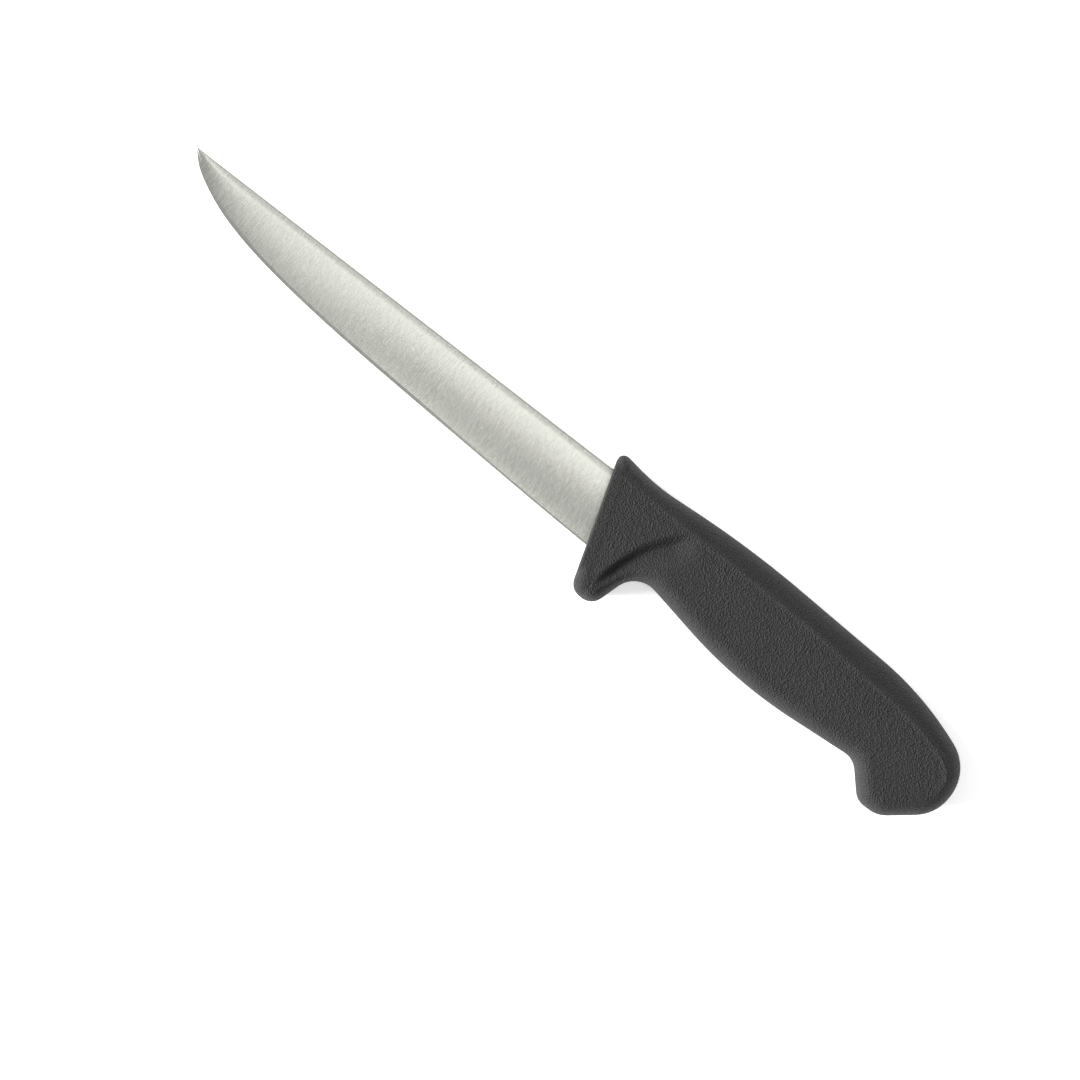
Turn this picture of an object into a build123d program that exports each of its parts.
"""Boning knife with a stamped blade and a handle moulded over its tang, lying on its side.

+X runs from the tip to the butt, +Y from the cutting edge to the back of the blade, and +Z
through the thickness.  The origin is on the surface the knife lies on, under the middle of
its outline.  Both faces of the knife mirror each other in the middle plane, z = MID_Z.
"""
import os

from build123d import *

# ---- driving dimensions, millimetres ---------------------------------------------------
OVERALL = 280.0            # tip to butt
BACK_Y = 14.26            # straight back of the blade above the middle of the outline
HANDLE_THICK = 20.0        # across the two flat side panels
MID_Z = HANDLE_THICK / 2

BLADE_SHOWING = 148.0      # tip to handle, along the back of the blade
HEEL_HEIGHT = 21.45
HEEL_HIDDEN = 14.0         # full-height steel inside the front of the handle
BACK_THICK_TIP = 1.1       # thickness of the back, growing evenly towards the heel
BACK_THICK_HEEL = 2.4
BACK_EASE = 0.35           # eased corners of the back
SHOULDER_THICK = 0.7       # where the flank meets the edge bevel
EDGE_BEVEL = 0.9           # height of the edge bevel
EDGE_THICK = 0.12          # flat left on the sharpened edge

TANG_THICK = 2.2
TANG_END = 250.0           # rear end of the tang, from the tip
TANG_HOLE = 5.0            # holes that the core runs through
TANG_HOLE_PITCH = 26.0
TANG_HOLES = 3
TANG_HOLE_DROP = 9.5       # row of holes below the back of the blade
TANG_END_RADIUS = 4.0

RIM_RADIUS = 4.0           # rounding between the side panels and the narrow sides
FACET_DROP = 2.2           # fall of the facet along the back over FACET_REACH
FACET_REACH = 8.0
FRONT_BEVEL = 3.8          # length of the bevel behind the front face
FRONT_BEVEL_DROP = 1.5
CORE_THICK = 12.0
CORE_ROUNDING = 2.5
ABOVE = 1.0                # how far the cutters stand clear of the surface they cut
REACH = 70.0               # how far the cutters run past the handle

# ---- curves, as (distance from the tip, height above the back of the blade) ------------
EDGE_CURVE = [(0, -0.6), (2.5, -3.0), (10, -7.6), (30, -13.7), (58, -17.1), (98, -19.35)]
BLADE_STEPS = 20           # sections along the blade, closer together towards the tip

# corners of the handle's outline, each with the radius that rounds it
HANDLE_START = (140, 6.73)
HANDLE_CORNERS = [
    ((161, 3.7), 60),          # dip behind the front
    ((192.8, 6.1), 300),       # crown of the grip
    ((255.8, 3.28), 95),       # fall towards the butt
    ((280, -5.5), 12.9),
    ((280, -21.4), 12.5),
    ((266.8, -31.9), 8),
    ((259.9, -31.9), 5),       # nose of the butt hook
    ((251.9, -23.1), 6),
    ((212, -26.5), 140),       # belly
    ((171.6, -18.65), 7.7),    # finger recess behind the guard
    ((167.0, -34.3), 4.6),     # toe of the guard
]
HANDLE_STOP = (140, -34.3)
# the slanted front face, its rounded lower corner, and what it cuts away
FRONT_TOP = (146.6, 5.6)
FRONT_LOW = (157.8, -29.2)
GUARD_TOE = (162.2, -34.3)
FRONT_WASTE = [(158, -45), (130, -45), (130, 20), (143, 20)]

# where the facet along the back meets the side panel
CREASE_CURVE = [(146, 0.4), (180, -0.7), (222, -1.6), (250, -3.6), (264, -6.0), (282, -14.0)]
# scooped arc that parts the guard from the grip; its sections are (share of its length, depth)
GROOVE_TOP = (178.5, -0.8)
GROOVE_MIDDLE = (169.3, -12.0)
GROOVE_END = (164.2, -27.5)
GROOVE_SECTIONS = [(0.0, 0.05), (0.25, 0.8), (0.5, 1.0), (0.8, 0.9), (1.0, 0.3)]
GROOVE_FRONT_RUN = 0.6
GROOVE_REAR_RUN = 2.2

TANG_CORNERS = [(160, -2.0), (TANG_END, -5.0), (TANG_END, -14.0), (175, -17.0), (160, -19.6)]

CORE_START = (163, -0.4)
CORE_CORNERS = [
    ((192.8, 1.4), 200),
    ((252, -1.6), 60),
    ((272.5, -9), 10),
    ((270, -24), 8),
    ((259, -24), 4),
    ((249, -18), 10),
    ((212, -21.5), 100),
    ((178, -14.6), 30),
]
CORE_STOP = (163, -18.0)


def at(point):
    """Place in the frame of a point given from the tip along, and above, the blade's back."""
    along, up = point
    return (along - OVERALL / 2, up + BACK_Y)


def rounded_outline(start, corners, stop):
    """Closed outline with rounded corners; its last side runs straight back to the start."""
    points = [start] + [corner for corner, _ in corners] + [stop]
    path = FilletPolyline(*[at(p) for p in points], radius=[radius for _, radius in corners])
    Line(path @ 1, path @ 0)


def section_plane(point, facing):
    """Upright plane through a point, its x axis to the right of the way it faces."""
    heading = Vector(*facing).normalized()
    side = Vector(-heading.Y, heading.X)
    return Plane(origin=(*at(point), MID_Z), x_dir=side, z_dir=heading)


def edge_height(along):
    """How far the cutting edge lies below the back, at a distance from the tip."""
    if along == 0:
        return -EDGE_CURVE[0][1]
    if along == BLADE_SHOWING:
        return HEEL_HEIGHT
    cut = Edge.make_line(at((along, 5)), at((along, -30)))
    return BACK_Y - edge_curve.intersect(cut).vertices()[0].Y


# ---- blade: one stamping with its tang --------------------------------------------------
edge_curve = Edge.make_spline([Vector(*at(p)) for p in EDGE_CURVE + [(BLADE_SHOWING, -HEEL_HEIGHT)]])

with BuildPart() as blade:
    for step in range(BLADE_STEPS + 1):
        share = (step / BLADE_STEPS) ** 2
        along = share * BLADE_SHOWING
        half = (BACK_THICK_TIP + (BACK_THICK_HEEL - BACK_THICK_TIP) * share) / 2
        height = edge_height(along)
        ease = min(BACK_EASE, height / 5)
        bevel = min(EDGE_BEVEL, height / 3)
        flank = [(0, half - ease), (-ease, half), (bevel - height, SHOULDER_THICK / 2)]
        one_side = flank + [(-height, EDGE_THICK / 2)]
        other_side = [(up, -out) for up, out in reversed(one_side)]
        with BuildSketch(section_plane((along, 0), (1, 0))):
            with BuildLine():
                Polyline(*one_side, *other_side, close=True)
            make_face()
    loft(ruled=True)
    extrude(faces().sort_by(Axis.X)[-1], amount=HEEL_HIDDEN)
    with BuildSketch(Plane.XY.offset(MID_Z)):
        with BuildLine():
            Polyline(*[at(p) for p in TANG_CORNERS], close=True)
        make_face()
        fillet(vertices().group_by(Axis.X)[-1], TANG_END_RADIUS)
    extrude(amount=TANG_THICK / 2, both=True)
    with BuildSketch(Plane.XY.offset(MID_Z)):
        with Locations(at((TANG_END - TANG_HOLE_PITCH * TANG_HOLES / 2, -TANG_HOLE_DROP))):
            with GridLocations(TANG_HOLE_PITCH, 1, TANG_HOLES, 1):
                Circle(TANG_HOLE / 2)
    extrude(amount=TANG_THICK, both=True, mode=Mode.SUBTRACT)
blade.part.label = "blade"

# ---- handle core: first moulding, round the tang and through its holes ------------------
with BuildPart() as core_block:
    with BuildSketch(Plane.XY.offset(MID_Z)):
        with BuildLine():
            rounded_outline(CORE_START, CORE_CORNERS, CORE_STOP)
        make_face()
    extrude(amount=CORE_THICK / 2, both=True)
    core_front = edges().group_by(Axis.X)[0]
    core_rims = edges().group_by(Axis.Z)[0] + edges().group_by(Axis.Z)[-1]
    fillet(core_rims - core_front, CORE_ROUNDING)

with BuildPart() as handle_core:
    add(core_block.part)
    add(blade.part, mode=Mode.SUBTRACT)
handle_core.part.label = "handle_core"

# ---- handle grip: outer moulding, with the guard and the butt hook ----------------------
front_way = Vector(*FRONT_LOW) - Vector(*FRONT_TOP)
groove_path = Edge.make_three_point_arc(
    Vector(*at(GROOVE_TOP), HANDLE_THICK),
    Vector(*at(GROOVE_MIDDLE), HANDLE_THICK),
    Vector(*at(GROOVE_END), HANDLE_THICK),
)

# everything below the facets of both sides
with BuildPart() as facet_block:
    for along, up in CREASE_CURVE:
        with BuildSketch(section_plane((along, up), (1, 0))):
            with BuildLine():
                half = MID_Z + ABOVE
                start = -FACET_REACH * ABOVE / FACET_DROP
                Polyline(
                    (-REACH, half),
                    (-REACH, -half),
                    (start, -half),
                    (2 * FACET_REACH, 2 * FACET_DROP - MID_Z),
                    (2 * FACET_REACH, MID_Z - 2 * FACET_DROP),
                    (start, half),
                    close=True,
                )
            make_face()
    loft(ruled=True)

with BuildPart() as bevel_cutter:
    with BuildSketch(section_plane(FRONT_TOP, (front_way.X, front_way.Y))):
        with BuildLine():
            Polyline(
                (-ABOVE, MID_Z + ABOVE),
                (-ABOVE, MID_Z - FRONT_BEVEL_DROP * (1 + ABOVE / FRONT_BEVEL)),
                (FRONT_BEVEL * (1 + ABOVE / FRONT_BEVEL_DROP), MID_Z + ABOVE),
                close=True,
            )
        make_face()
    extrude(amount=REACH, both=True)

with BuildPart() as groove_cutter:
    for place, depth in GROOVE_SECTIONS:
        middle = groove_path @ place
        way = groove_path % place
        rearward = Vector(-way.Y, way.X)
        with BuildSketch(Plane(origin=middle, x_dir=rearward, z_dir=way)):
            with BuildLine():
                Polyline(
                    (0, -depth),
                    (GROOVE_REAR_RUN, 0),
                    (GROOVE_REAR_RUN, ABOVE),
                    (-GROOVE_FRONT_RUN, ABOVE),
                    (-GROOVE_FRONT_RUN, 0),
                    close=True,
                )
            make_face()
    loft(ruled=True)

with BuildPart() as handle_grip:
    with BuildSketch():
        with BuildLine():
            rounded_outline(HANDLE_START, HANDLE_CORNERS, HANDLE_STOP)
        make_face()
    extrude(amount=HANDLE_THICK)
    blank_front = edges().group_by(Axis.X)[0]
    rims = edges().group_by(Axis.Z)[0] + edges().group_by(Axis.Z)[-1]
    fillet(rims - blank_front, RIM_RADIUS)
    with BuildSketch():
        with BuildLine():
            front = Line(at(FRONT_TOP), at(FRONT_LOW))
            toe = TangentArc(at(FRONT_LOW), at(GUARD_TOE), tangent=front % 1)
            Polyline(toe @ 1, *[at(p) for p in FRONT_WASTE], front @ 0)
        make_face()
    extrude(amount=HANDLE_THICK, mode=Mode.SUBTRACT)
    add(facet_block.part, mode=Mode.INTERSECT)
    for cutter in (bevel_cutter, groove_cutter):
        add(cutter.part, mode=Mode.SUBTRACT)
        add(mirror(cutter.part, about=Plane.XY.offset(MID_Z), mode=Mode.PRIVATE), mode=Mode.SUBTRACT)
    add(core_block.part, mode=Mode.SUBTRACT)
    add(blade.part, mode=Mode.SUBTRACT)
handle_grip.part.label = "handle_grip"

os.makedirs("parts", exist_ok=True)
export_step(blade.part, "parts/blade.step")
export_step(handle_core.part, "parts/handle_core.step")
export_step(handle_grip.part, "parts/handle_grip.step")
